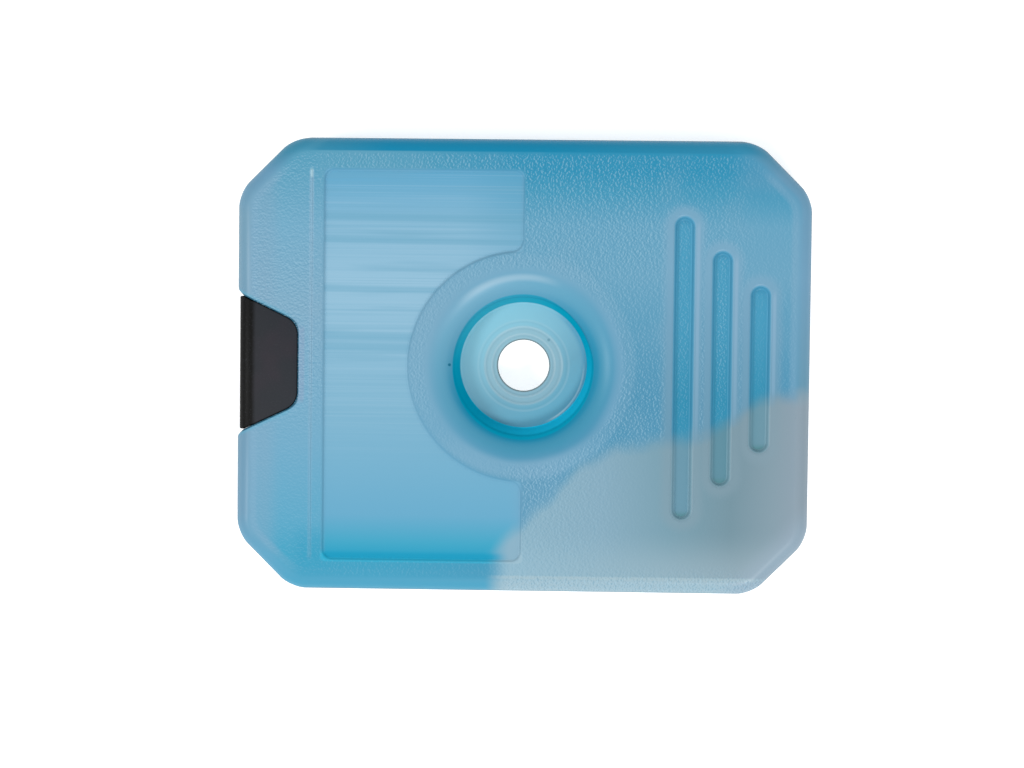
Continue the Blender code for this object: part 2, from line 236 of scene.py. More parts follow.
def bevel_edges(obj, width):
    """Round the sharp edges of an object."""
    modifier = obj.modifiers.new("Soft edges", "BEVEL")
    modifier.width = width
    modifier.segments = BEVEL_STEPS
    modifier.limit_method = "ANGLE"
    modifier.angle_limit = BEVEL_ANGLE
    modifier.use_clamp_overlap = False


# Moulded form
def pack_half(bm, inset, seam):
    """The plain pack above its parting line, drawn in by inset."""
    bmesh.ops.create_grid(bm, x_segments=1, y_segments=1, size=0.5)
    bmesh.ops.scale(bm, vec=(LENGTH - 2 * inset, WIDTH - 2 * inset, 1.0), verts=bm.verts)
    round_corners(bm, bm.verts[:], CORNER_LEG - inset * (2 - math.sqrt(2)), 1)
    corner = (CORNER_RADIUS - inset) * math.tan(math.pi / 8)
    round_corners(bm, bm.verts[:], corner, ARC_STEPS)
    rise = HALF - EDGE_RADIUS
    steps = []
    if seam:
        steps.append((0.0, SEAM_FLAT))
        steps.append((SEAM_PROUD, SEAM_SLOPE))
        rise -= SEAM_FLAT + SEAM_SLOPE
    steps.append((DRAFT, rise))
    steps.extend(quarter_round(EDGE_RADIUS - inset, RIM_STEPS))
    step_face(bm, bm.faces[:][0], steps)


def whole_pack(name, inset, seam):
    """Both halves of the plain pack, closed."""
    bm = bmesh.new()
    pack_half(bm, inset, seam)
    everything = bm.verts[:] + bm.edges[:] + bm.faces[:]
    bmesh.ops.mirror(bm, geom=everything, merge_dist=MERGE, axis="Z")
    if seam:
        middle = [edge for edge in bm.edges if all(abs(end.co.z) < MERGE for end in edge.verts)]
        bmesh.ops.dissolve_edges(bm, edges=middle, use_verts=True)
    bmesh.ops.recalc_face_normals(bm, faces=bm.faces)
    return place(name, bm)


def notch_tool(name, grow, flare_slope):
    """The notch as a solid that stands through the pack and out of its side."""
    slope = math.tan(NOTCH_SLOPE)
    floor_x = NOTCH_FLOOR_X + grow
    floor_half = NOTCH_FLOOR_WIDTH / 2 + grow / math.cos(NOTCH_SLOPE) - grow * slope
    flare_half = floor_half + (floor_x - FLARE_X) * slope
    mouth_x = -LENGTH / 2 - OVERRUN
    mouth_half = flare_half + (FLARE_X - mouth_x) * math.tan(flare_slope)
    low = -HALF - OVERRUN
    bm = bmesh.new()
    upper = ((mouth_x, mouth_half), (FLARE_X, flare_half), (floor_x, floor_half))
    corners = [(x, -y) for x, y in upper] + list(reversed(upper))
    verts = [bm.verts.new((x, y + NOTCH_MIDDLE_Y, low)) for x, y in corners]
    bm.faces.new(verts)
    turn = math.pi / 2 - NOTCH_SLOPE
    floor_verts = [vert for vert in verts if abs(vert.co.x - floor_x) < MERGE]
    round_corners(bm, floor_verts, (NOTCH_RADIUS + grow) * math.tan(turn / 2), ARC_STEPS)
    raised = bmesh.ops.extrude_face_region(bm, geom=bm.faces[:])["geom"]
    raised_verts = [item for item in raised if isinstance(item, bmesh.types.BMVert)]
    bmesh.ops.translate(bm, vec=(0.0, 0.0, THICKNESS + 2 * OVERRUN), verts=raised_verts)
    bmesh.ops.recalc_face_normals(bm, faces=bm.faces)
    return place(name, bm)


def round_bar(name, low_x, high_x, radius):
    """A round bar along X, on the middle of the pack's thickness."""
    bm = bmesh.new()
    to_middle = Matrix.Translation(((low_x + high_x) / 2, 0.0, 0.0))
    bmesh.ops.create_cone(
        bm,
        cap_ends=True,
        segments=TURNED_STEPS // 2,
        radius1=radius,
        radius2=radius,
        depth=high_x - low_x,
        matrix=to_middle @ Matrix.Rotation(math.pi / 2, 4, "Y"),
    )
    return place(name, bm)


def notched_pack():
    """The plain pack with the notch in its side and the bored neck in the notch."""
    pack = whole_pack("plain_pack", 0.0, True)
    tools = [
        notch_tool("notch", 0.0, FLARE_SLOPE),
        round_bar("neck", NECK_END_X, NOTCH_FLOOR_X + OVERRUN, NECK_RADIUS),
        round_bar("bore", NECK_END_X - OVERRUN, NOTCH_FLOOR_X + BORE_DEPTH, BORE_RADIUS),
    ]
    apply_tool(pack, tools[0], "DIFFERENCE")
    bevel_edges(pack, NOTCH_EDGE)
    apply_tool(pack, tools[1], "UNION")
    apply_tool(pack, tools[2], "DIFFERENCE")
    return settle(pack, tools)


def open_flat(bm, facing):
    """Take the large flat front or back face out, and give back its edge."""
    flats = [face for face in bm.faces if face.normal.z * facing > LEVEL]
    face = max(flats, key=lambda flat: flat.calc_area())
    step_face(bm, face, [(SUPPORT, 0.0)])
    edges = face.edges[:]
    bmesh.ops.delete(bm, geom=[face], context="FACES_ONLY")
    return edges


def turn_profile(bm, profile):
    """Spin a line of (radius, height) places once round the middle of the pack."""
    verts = [bm.verts.new((radius, 0.0, height)) for radius, height in profile]
    edges = [bm.edges.new(pair) for pair in zip(verts, verts[1:])]
    before = set(bm.edges) - set(edges)
    bmesh.ops.spin(
        bm,
        geom=verts + edges,
        cent=(0.0, 0.0, 0.0),
        axis=(0.0, 0.0, 1.0),
        dvec=(0.0, 0.0, 0.0),
        angle=2 * math.pi,
        steps=TURNED_STEPS,
        use_merge=True,
        use_duplicate=False,
    )
    turned = [edge for edge in bm.edges if edge not in before]
    return [edge for edge in turned if edge.is_boundary]


def rounded_line(places, radii):
    """A line of places with its inner corners rounded."""
    points = [Vector(corner) for corner in places]
    line = [points[0]]
    for before, corner, after, radius in zip(points, points[1:], points[2:], radii):
        back = (before - corner).normalized()
        on = (after - corner).normalized()
        half_angle = back.angle(on) / 2
        reach = radius / math.tan(half_angle)
        centre = corner + (back + on).normalized() * radius / math.sin(half_angle)
        start = corner + back * reach - centre
        end = corner + on * reach - centre
        steps = max(2, round(ARC_STEPS * (math.pi - 2 * half_angle)))
        for k in range(steps + 1):
            line.append(centre + radius * start.slerp(end, k / steps))
    line.append(points[-1])
    return line


def well_line():
    """The section of both wells and the hole, from the front face to the back face."""
    funnel_corner = WELL_RADIUS - FUNNEL_RADIUS * math.tan(FUNNEL_SLOPE / 2)
    bend = WALL_SLOPE - FUNNEL_SLOPE
    bend_reach = SHOULDER_RADIUS * math.tan(bend / 2)
    funnel_run = FUNNEL_RADIUS * math.tan(FUNNEL_SLOPE / 2) + bend_reach
    shoulder = Vector((funnel_corner, HALF))
    shoulder -= funnel_run * Vector((math.cos(FUNNEL_SLOPE), math.sin(FUNNEL_SLOPE)))
    foot_x = shoulder.x - (shoulder.y - WEB_HALF) / math.tan(WALL_SLOPE)
    first_floor = WEB_HALF - STEP_DEPTH
    second_floor = first_floor - STEP_DEPTH
    places = [
        (WELL_RADIUS + SUPPORT, HALF),
        (funnel_corner, HALF),
        shoulder[:],
        (foot_x, WEB_HALF),
        (OUTER_STEP_RADIUS, WEB_HALF),
        (OUTER_STEP_RADIUS - STEP_RUN, first_floor),
        (INNER_STEP_RADIUS, first_floor),
        (INNER_STEP_RADIUS - STEP_RUN, second_floor),
        (HOLE_RADIUS, second_floor),
        (HOLE_RADIUS, 0.0),
    ]
    step = STEP_ROUND
    radii = [FUNNEL_RADIUS, SHOULDER_RADIUS, WELL_FOOT, step, step, step, step, HOLE_ROUND]
    upper = [(point.x, point.y) for point in rounded_line(places, radii)]
    return upper + [(radius, -height) for radius, height in reversed(upper[:-1])]


def arc_on(bm, vert, centre, angle, steps):
    """Draw an arc on from a vertex, about a centre."""
    made = bmesh.ops.spin(
        bm,
        geom=[vert],
        cent=(*centre, HALF),
        axis=(0.0, 0.0, 1.0),
        dvec=(0.0, 0.0, 0.0),
        angle=angle,
        steps=steps,
        use_merge=False,
        use_duplicate=False,
    )
    return made["geom_last"][0]


def line_on(bm, vert, x, y):
    """Draw a straight line on from a vertex."""
    end = bm.verts.new((x, y, HALF))
    bm.edges.new((vert, end))
    return end


def recess_face(bm, grow):
    """The label recess on the face: a rounded rectangle kept clear of the well."""
    left = RECESS_LEFT - grow
    right = grow
    top = RECESS_TOP + grow
    corner = RECESS_CORNER + grow
    clear = RECESS_CLEAR - grow
    cusp = RECESS_CUSP + grow
    cusp_x = right - cusp
    cusp_y = math.sqrt((clear + cusp) ** 2 - cusp_x**2)
    meet = math.atan2(cusp_y, cusp_x)
    quarter = math.pi / 2
    old = set(bm.edges)
    first = bm.verts.new((left + corner, top, HALF))
    vert = line_on(bm, first, right - corner, top)
    vert = arc_on(bm, vert, (right - corner, top - corner), -quarter, ARC_STEPS)
    vert = line_on(bm, vert, right, cusp_y)
    vert = arc_on(bm, vert, (cusp_x, cusp_y), meet - math.pi, ARC_STEPS)
    vert = arc_on(bm, vert, (0.0, 0.0), 2 * (math.pi - meet), TURNED_STEPS // 2)
    vert = arc_on(bm, vert, (cusp_x, -cusp_y), meet - math.pi, ARC_STEPS)
    vert = line_on(bm, vert, right, corner - top)
    vert = arc_on(bm, vert, (right - corner, corner - top), -quarter, ARC_STEPS)
    vert = line_on(bm, vert, left + corner, -top)
    vert = arc_on(bm, vert, (left + corner, corner - top), -quarter, ARC_STEPS)
    vert = line_on(bm, vert, left, top - corner)
    vert = arc_on(bm, vert, (left + corner, top - corner), -quarter, ARC_STEPS)
    outline = [edge for edge in bm.edges if edge not in old]
    bmesh.ops.weld_verts(bm, targetmap={vert: first})
    return cap(bm, [edge for edge in outline if edge.is_valid])


def bar_face(bm, x, width, length):
    """A bar with round ends on the face."""
    radius = width / 2
    centre_y = length / 2 - radius
    old = set(bm.edges)
    first = bm.verts.new((x + radius, centre_y, HALF))
    vert = arc_on(bm, first, (x, centre_y), math.pi, 2 * ARC_STEPS)
    vert = line_on(bm, vert, x - radius, -centre_y)
    vert = arc_on(bm, vert, (x, -centre_y), math.pi, 2 * ARC_STEPS)
    bm.edges.new((vert, first))
    return cap(bm, [edge for edge in bm.edges if edge not in old])


def moulded_body():
    """The blow moulded body: rim, wells, hole, recess, ridge, grooves, notch and neck."""
    bm = bmesh.new()
    bm.from_mesh(notched_pack())
    bm.normal_update()
    front_edge = open_flat(bm, 1)
    back_edge = open_flat(bm, -1)
    well_edges = turn_profile(bm, well_line())
    front_well = [edge for edge in well_edges if edge.verts[0].co.z > 0]
    back_well = [edge for edge in well_edges if edge.verts[0].co.z < 0]

    recess = recess_face(bm, RECESS_SPREAD)
    grooves = []
    for x, length in zip(GROOVE_X, GROOVE_LENGTH):
        spread = 2 * GROOVE_SPREAD
        grooves.append(bar_face(bm, x, GROOVE_WIDTH + spread, length + spread))
    ridge = bar_face(bm, RIDGE_X, RIDGE_WIDTH + 2 * SUPPORT, 2 * RECESS_TOP)
    holes = [edge for face in (recess, ridge, *grooves) for edge in face.edges]

    back = back_edge + back_well
    bmesh.ops.triangle_fill(bm, use_beauty=True, edges=back, normal=(0.0, 0.0, -1.0))
    front = front_edge + front_well + holes
    bmesh.ops.triangle_fill(bm, use_beauty=True, edges=front, normal=(0.0, 0.0, 1.0))

    step_face(bm, recess, soft_step(-RECESS_DEPTH, RECESS_ROUND, RECESS_ROUND, RECESS_SLOPE))
    for groove in grooves:
        step_face(bm, groove, soft_step(-GROOVE_DEPTH, GROOVE_LIP, GROOVE_FOOT, GROOVE_SLOPE))
    step_face(bm, ridge, soft_step(RIDGE_HEIGHT, RIDGE_ROUND, RIDGE_ROUND, RIDGE_SLOPE)[:-1])

    bmesh.ops.remove_doubles(bm, verts=bm.verts, dist=MERGE / 2)
    bmesh.ops.recalc_face_normals(bm, faces=bm.faces)
    bmesh.ops.translate(bm, vec=(0.0, 0.0, HALF), verts=bm.verts)
    return place("pack_body", bm)


def finish_piece(obj, node):
    """Smooth a piece but for its real edges, and let it stand for its node."""
    obj.data.shade_smooth()
    obj.data.set_sharp_from_angle(angle=SHARP_ANGLE)
    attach(obj, "root")
    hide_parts(node)
    return obj


def neck_cover():
    """The black cover: a hood over the neck and plug, open towards the pack."""
    cover = whole_pack("plain_cover", COVER_SET_BACK, False)
    room = whole_pack("cover_room", COVER_SET_BACK + COVER_WALL, False)
    outside = notch_tool("cover_outside", -COVER_CLEARANCE, 0.0)
    inside = notch_tool("cover_inside", -COVER_CLEARANCE - COVER_WALL, 0.0)

    # The room inside reaches through the side that faces the pack, so the hood is open there
    bm = bmesh.new()
    bm.from_mesh(inside.data)
    far = [vert for vert in bm.verts if vert.co.x > NOTCH_FLOOR_X - NOTCH_RADIUS - COVER_WALL]
    bmesh.ops.translate(bm, vec=(2 * OVERRUN, 0.0, 0.0), verts=far)
    bm.to_mesh(inside.data)
    bm.free()

    apply_tool(cover, outside, "INTERSECT")
    bevel_edges(cover, COVER_EDGE)
    apply_tool(room, inside, "INTERSECT")
    apply_tool(cover, room, "DIFFERENCE")
    mesh = settle(cover, [outside, inside, room])
    bm = bmesh.new()
    bm.from_mesh(mesh)
    bmesh.ops.translate(bm, vec=(0.0, 0.0, HALF), verts=bm.verts)
    return place("neck_cover", bm)


# What the lamps give: light on a surface that lies level, and its share that is sheen
LIGHT = 1.32
SHEEN = 0.02

MILLIMETRES = 1000.0

# Sockets of a Mix node that hold colours
FIRST_COLOUR = 6
SECOND_COLOUR = 7
MIXED_COLOUR = 2

# How far the corners of these outlines are rounded in the materials, in millimetres
EDGE_BLEND = 5.0
NOTCH_BLEND = 6.8
RECESS_BLEND = 4.0

# Colours as they look on a screen, in levels of red, green and blue. A run is a list of
# stops, each a place in millimetres and the colour there: up the width where its name says
# nothing else, and along the length where it says ALONG.
FACE_LEFT = (
    (-94, (84, 167, 199)),
    (-84, (74, 166, 198)),
    (-68, (98, 171, 202)),
    (-35, (118, 174, 203)),
    (25, (134, 176, 201)),
    (60, (122, 176, 204)),
    (90, (96, 165, 194)),
)
FACE_RIGHT = (
    (-60, (88, 152, 184)),
    (-12, (87, 152, 185)),
    (20, (100, 162, 193)),
    (40, (114, 170, 199)),
    (62, (110, 170, 200)),
    (76, (77, 159, 193)),
    (86, (56, 151, 189)),
)
FACE_MOTTLE = (128, 172, 198)
FACE_LEFT_SIDE = (140, 170, 194)
FACE_TOP_RIGHT = (102, 161, 193)
FACE_LOWER_LEFT = (54, 158, 193)

AIR_ALONG = (
    (-5, (144, 181, 199)),
    (35, (138, 174, 193)),
    (65, (124, 161, 177)),
    (92, (120, 150, 163)),
    (110, (136, 160, 173)),
    (123, (146, 164, 178)),
)
AIR_LOW_ALONG = (
    (-5, (150, 187, 205)), (60, (148, 178, 192)), (95, (146, 170, 182)), (120, (156, 178, 189)),
)

RECESS = (
    (-85, (42, 161, 197)),
    (-78, (73, 169, 201)),
    (-66, (109, 174, 206)),
    (-20, (133, 184, 210)),
    (36, (154, 197, 221)),
    (62, (138, 188, 215)),
    (86, (101, 172, 208)),
)
RECESS_TOP_RIGHT = (92, 165, 198)
RECESS_AIR = (142, 180, 200)
# Painted shade along the outline and the foot of the recess, and painted light where its step
# shines along the lower edge
RECESS_OUTLINE_SHADE = (104, 160, 190)
RECESS_FOOT_SHADE = (30, 158, 195)
RECESS_STEP_GEL = (58, 180, 214)
RECESS_STEP_AIR = (166, 198, 212)
STREAK_FINE_DARK = (112, 170, 198)
STREAK_FINE_PALE = (164, 202, 224)
STREAK_BROAD = (118, 174, 201)
STREAK_SINGLE = (112, 172, 200)

BESIDE_GROOVES_GEL = ((-35, (113, 155, 178)), (20, (124, 168, 195)), (45, (130, 175, 202)))
BESIDE_GROOVES_AIR = (136, 162, 176)
GROOVES_GEL = (
    (-66, (68, 154, 188)), (-15, (60, 150, 184)), (20, (80, 163, 197)), (66, (86, 167, 201)),
)
GROOVES_AIR_ALONG = (
    (72, (112, 157, 177)), (85, (102, 149, 166)), (95, (102, 149, 166)), (106, (116, 158, 175)),
)
# Painted shade at the ends of the grooves, and painted light on their walls
GROOVE_TIP_SHADE_GEL = (66, 150, 184)
GROOVE_TIP_SHADE_AIR = (96, 148, 156)
GROOVE_WALL_LIGHT_GEL = (104, 178, 212)
GROOVE_WALL_LIGHT_AIR = (158, 194, 208)
GROOVE_GLINT = (148, 184, 210)

# Painted highlights along the ridge and at its upper end
RIDGE_HIGHLIGHT = (150, 188, 212)
RIDGE_TOP_HIGHLIGHT = (196, 232, 240)

RIM_LEFT = (
    (-96, (86, 166, 198)),
    (-84, (104, 168, 199)),
    (-66, (118, 161, 188)),
    (0, (120, 159, 184)),
    (65, (123, 164, 187)),
    (84, (112, 161, 192)),
    (93, (78, 148, 178)),
)
RIM_RIGHT = (
    (-96, (86, 166, 197)),
    (-10, (112, 159, 184)),
    (40, (122, 169, 199)),
    (84, (114, 163, 193)),
    (93, (90, 153, 184)),
)
# Deep blue along the top of the rim, darkened there by painted shade
RIM_TOP_ALONG = (
    (-105, (74, 148, 178)), (-60, (24, 141, 181)), (10, (8, 141, 181)), (105, (62, 146, 181)),
)
RIM_AIR = (147, 175, 188)
RIM_AIR_RIGHT = (148, 166, 179)
# Painted light on the lower edge where air lies behind it
RIM_AIR_LOW_LIT = (172, 200, 213)
# Painted highlight where the rim turns into the face
RIM_INNER_HIGHLIGHT = (136, 176, 203)
RIM_CUT_CORNER_AIR = (158, 178, 196)
# Painted highlight along the lower edge where air lies behind it
RIM_LOWER_HIGHLIGHT_AIR = (176, 200, 208)
RIM_OUTLINE = (104, 132, 147)

# These runs go by how far a place lies towards the lit side of the well, from -1 to 1
FUNNEL_BY_SIDE = (
    (-1, (74, 156, 187)), (-0.3, (84, 160, 191)), (0.4, (102, 169, 198)), (1, (120, 178, 205)),
)
WELL_LIP_BY_SIDE = (
    (-1, (42, 168, 202)), (0.0, (26, 152, 186)), (0.4, (36, 154, 188)), (1, (70, 170, 200)),
)
# The wall is painted brighter than the lip: painted light that evens out the shade deep in the well
WELL_WALL_BY_SIDE = (
    (-1, (52, 214, 252)), (0, (32, 184, 216)), (0.5, (44, 184, 214)), (1, (72, 192, 218)),
)
AROUND_WELL = (140, 182, 207)
RIGHT_OF_WELL = (130, 176, 205)
BELOW_WELL = (128, 172, 200)
FUNNEL_GLINT = (172, 204, 222)
# Deep blue of the wall seen through the funnel, with painted shade on the side away from the light
FUNNEL_DEEP_BLUE_AND_SHADE = (34, 150, 188)
WELL_WALL_LEFT = (34, 178, 212)
# The floor's colour by how far a place lies towards the lit side, in millimetres: painted light and
# shade
WELL_FLOOR_BY_TURN = (
    (-28, (110, 180, 205)), (-8, (122, 180, 202)), (8, (142, 200, 220)), (28, (156, 218, 236)),
)
WELL_STEPS = (166, 196, 207)
# Painted highlights and shade along the steps of the floor
STEP_HIGHLIGHT = (206, 226, 232)
STEP_SHADE = (122, 160, 176)
HOLE_EDGE = (122, 142, 148)
# Painted highlights along the edge of the floor
FLOOR_CRESCENT_HIGHLIGHT = (214, 240, 246)
FLOOR_LEFT_HIGHLIGHT = (150, 206, 226)
FLOOR_RIGHT = (96, 168, 200)

SPECK = (30, 112, 138)
NOTCH_GLOW = (92, 176, 204)
# Painted shadow in the gap round the cover
NOTCH_GAP_SHADOW = (30, 96, 122)
NOTCH_RIM = (140, 168, 196)
# Painted shadow in the gap at the mouth of the notch
NOTCH_MOUTH_SHADOW = (24, 84, 106)
PEBBLE_LIT = (162, 204, 225)
PEBBLE_SHADED = (76, 143, 176)

# The cover's colour along the length, darker towards its outer end as painted shade where it turns
# down
COVER_ALONG = (
    (-126.0, (24, 24, 22)), (-119.4, (35, 35, 36)), (-117.6, (59, 61, 65)), (-98, (58, 61, 66)),
)
COVER_PATCH = (66, 62, 68)
COVER_GRAIN = (70, 73, 78)
GEL = ((-100, (20, 140, 178)), (100, (50, 158, 192)))
GEL_CLOUD = (96, 186, 212)
PLUG_BY_GRAIN = ((0.3, (206, 210, 208)), (0.7, (222, 225, 222)))

# The height of the lower edge of the gel, at places along the pack, and how far down such
# a height can lie
AIR_LINE = (
    (-14, -84), (-4, -73), (12, -58), (28, -42), (42, -35),
    (62, -32), (82, -28.5), (104, -14), (112, -10.5), (128, -13),
)
AIR_LINE_DEPTH = 100

# How far the edge of the air waves up and down, how soft it is there and at its left end,
# where that end is, and how round the corner between them
AIR_WAVE = 7
AIR_SOFTNESS = 5.0
AIR_LEFT_SOFTNESS = 6.0
AIR_LEFT_END = -10.4
AIR_CORNER = 0.8

# Streaks of the recess that stand out: the middle and half the width of each
STREAKS = ((64.2, 0.8), (54.3, 0.5), (32.6, 0.5), (11.7, 1.0), (7.0, 1.0))
STREAK_SLANT = 0.012

# Painted highlights and shade along the steps of the well's floor: how far out each pale line
# lies and how strong it is, and how far inside it its darker line lies
FLOOR_RINGS = ((20.2, 0.12), (17.2, 0.2), (14.0, 0.2))
FLOOR_RING_STEP = 0.8

# The well is lit up and to the left
LIT_UP = 0.85
LIT_LEFT = 0.5

# Where the two dark specks in the plastic lie
SPECKS = ((-32.4, 0.4), (11.1, 11.5))

# Features of each noise in a millimetre, along the length, the width and the thickness
PEBBLES = (1.2, 1.0, 0.8)
LEFT_PEBBLES = (1.1, 1.3, 0.8)
MOTTLES = (0.035, 0.03, 0.03)
AIR_WAVES = (0.09, 0.09, 0.09)
FINE_STREAKS = (0.008, 1.3, 0.0)
BROAD_STREAKS = (0.012, 0.16, 0.0)
GRAIN_PATCHES = (0.02, 0.02, 0.02)
COVER_PATCHES = (0.05, 0.05, 0.05)
COVER_GRAINS = (1.6, 1.6, 1.6)
GEL_CLOUDS = (0.03, 0.03, 0.03)
PLUG_GRAINS = (0.9, 0.9, 0.9)

# The grain is shaded by comparing its height with that one step towards the lamps
PEBBLE_TURN = 0.22
PEBBLE_STEP = (0.45, 0.15, 0.0)
LEFT_PEBBLE_STEP = (0.1, 0.5, 0.0)


# Materials
class Wire:
    """A socket in a material's node tree, of a number, a colour or a place."""

    def __init__(self, tree, socket=None):
        self.tree = tree
        self.socket = socket

    def node(self, kind, settings=None, inputs=None, out=0):
        """Add a node: its settings first, then the values or links of its sockets."""
        made = self.tree.nodes.new(kind)
        for name, value in (settings or {}).items():
            if name == "stops":
                set_stops(made.color_ramp, value)
            else:
                setattr(made, name, value)
        for name, value in (inputs or {}).items():
            if isinstance(value, Wire):
                self.tree.links.new(value.socket, made.inputs[name])
            else:
                made.inputs[name].default_value = value
        return Wire(self.tree, made.outputs[out])

    def math(self, operation, *values):
        return self.node("ShaderNodeMath", {"operation": operation}, dict(enumerate(values)))

    def __add__(self, other):
        return self.math("ADD", self, other)

    __radd__ = __add__

    def __sub__(self, other):
        return self.math("SUBTRACT", self, other)

    def __rsub__(self, other):
        return self.math("SUBTRACT", other, self)

    def __mul__(self, other):
        return self.math("MULTIPLY", self, other)

    __rmul__ = __mul__

    def __truediv__(self, other):
        return self.math("DIVIDE", self, other)

    def __abs__(self):
        return self.math("ABSOLUTE", self)

    def least(self, *others):
        found = self
        for other in others:
            found = self.math("MINIMUM", found, other)
        return found

    def most(self, *others):
        found = self
        for other in others:
            found = self.math("MAXIMUM", found, other)
        return found

    def soft_least(self, other, blend):
        """The smaller of two values, with the corner where they cross rounded."""
        return self.math("SMOOTH_MIN", self, other, blend)

    def soft_most(self, other, blend):
        """The larger of two values, with the corner where they cross rounded."""
        return self.math("SMOOTH_MAX", self, other, blend)

    def root(self):
        return self.math("SQRT", self)

    def ease(self, low, high):
        """From 0 at low to 1 at high, with soft ends. High may be the smaller one."""
        return self.node(
            "ShaderNodeMapRange",
            {"interpolation_type": "SMOOTHSTEP"},
            {"Value": self, "From Min": low, "From Max": high},
        )

    def line(self, middle, half_width, softness):
        """1 on a line at middle, and 0 away from it."""
        return abs(self - middle).ease(half_width + softness, half_width)

    def follow(self, run):
        """The colour that a run has at this value."""
        low = run[0][0]
        reach = run[-1][0] - low
        stops = [((value - low) / reach, tone(*colour)) for value, colour in run]
        return self.node("ShaderNodeValToRGB", {"stops": stops}, {"Fac": (self - low) / reach})

    def blend(self, first, second):
        """The first colour where this mask is 0, and the second where it is 1."""
        colours = {"Factor": self, FIRST_COLOUR: first, SECOND_COLOUR: second}
        return self.node("ShaderNodeMix", {"data_type": "RGBA"}, colours, out=MIXED_COLOUR)

    def over(self, colour, mask):
        """This colour with another one laid over it where the mask is 1."""
        return mask.blend(self, colour if isinstance(colour, Wire) else tone(*colour))

    def coats(self, *coats):
        """This colour with coats laid over it one by one, each a colour and its mask."""
        paint = self
        for colour, mask in coats:
            paint = paint.over(colour, mask)
        return paint

    def moved(self, step):
        return self.node("ShaderNodeVectorMath", {"operation": "ADD"}, {0: self, 1: step})

    def noise(self, features, detail=2.0):
        """Soft noise about 0.5, with so many features in each millimetre."""
        settings = {"operation": "MULTIPLY"}
        spread = self.node("ShaderNodeVectorMath", settings, {0: self, 1: features})
        inputs = {"Vector": spread, "Scale": 1.0, "Detail": detail}
        return self.node("ShaderNodeTexNoise", None, inputs)

    def relief(self, distance, strength):
        """The slope that this height gives a surface, for its Normal."""
        inputs = {"Height": self, "Distance": distance, "Strength": strength}
        return self.node("ShaderNodeBump", None, inputs)

    def feed(self, shader, name):
        self.tree.links.new(self.socket, shader.inputs[name])


def set_stops(ramp, stops):
    """Give a ramp its stops, from 0 to 1."""
    ramp.elements[0].color = stops[0][1]
    ramp.elements[1].color = stops[-1][1]
    for position, colour in stops[1:-1]:
        ramp.elements.new(position).color = colour


def tone(red, green, blue):
    """A colour as seen on a screen under the lamps, as the share of light given back."""
    shares = []
    for level in (red, green, blue):
        value = level / 255
        linear = value / 12.92 if value <= 0.04045 else ((value + 0.055) / 1.055) ** 2.4
        shares.append(max(0.0, (linear - SHEEN) / LIGHT))
    return (*shares, 1.0)


def new_material(name, roughness, specular, coat_roughness=None):
    """A material with its constant finish, its node tree and its shader."""
    material = bpy.data.materials.new(name)
    material.use_nodes = True
    shader = material.node_tree.nodes["Principled BSDF"]
    shader.inputs["Roughness"].default_value = roughness
    shader.inputs["Specular IOR Level"].default_value = specular
    if coat_roughness is not None:
        shader.inputs["Coat Roughness"].default_value = coat_roughness
    return material, material.node_tree, shader


def millimetres(tree):
    """Object coordinates in millimetres, as a place and its three parts."""
    start = Wire(tree)
    where = start.node("ShaderNodeTexCoord", out="Object")
    inputs = {0: where, "Scale": MILLIMETRES}
    scaled = start.node("ShaderNodeVectorMath", {"operation": "SCALE"}, inputs)
    parts = [start.node("ShaderNodeSeparateXYZ", None, {0: scaled}, out=k) for k in range(3)]
    return scaled, parts


def mm(length):
    return length * MILLIMETRES


# Distances on the pack, in millimetres
def edge_distance(x, y):
    """Distance inwards from the outline, and from the cut corners alone."""
    corners = (mm(LENGTH + WIDTH) / 2 - mm(CORNER_LEG) - abs(x) - abs(y)) / math.sqrt(2)
    sides = (mm(LENGTH) / 2 - abs(x)).least(mm(WIDTH) / 2 - abs(y))
    return sides.soft_least(corners, EDGE_BLEND), corners


def notch_distance(x, y):
    """Distance outwards from the notch, less than 0 in it."""
    past_floor = x - mm(NOTCH_FLOOR_X)
    beside = abs(y - mm(NOTCH_MIDDLE_Y)) + past_floor * math.tan(NOTCH_SLOPE)
    beside = (beside - mm(NOTCH_FLOOR_WIDTH) / 2) * math.cos(NOTCH_SLOPE)
    return beside.soft_most(past_floor, NOTCH_BLEND)


def recess_distance(x, y, radius):
    """Distance inwards from the outline of the label recess, less than 0 outside it."""
    inside = (x - mm(RECESS_LEFT)).soft_least(mm(RECESS_TOP) - abs(y), RECESS_BLEND)
    inside = inside.soft_least(0.0 - x, RECESS_BLEND)
    return inside.soft_least(radius - mm(RECESS_CLEAR), RECESS_BLEND)


def groove_distance(x, y):
    """Distance from the nearest groove, and how near a place is to a groove's end."""
    reaches = []
    tips = []
    for middle, length in zip(GROOVE_X, GROOVE_LENGTH):
        straight = mm(length - GROOVE_WIDTH) / 2
        over_end = (abs(y) - straight).most(0.0)
        across = x - mm(middle)
        reach = (across * across + over_end * over_end).root() - mm(GROOVE_WIDTH) / 2
        reaches.append(reach)
        tips.append(over_end.ease(0.0, 3.0) * reach.ease(0.2, -1.6))
    return reaches[0].least(*reaches[1:]), tips[0].most(*tips[1:])


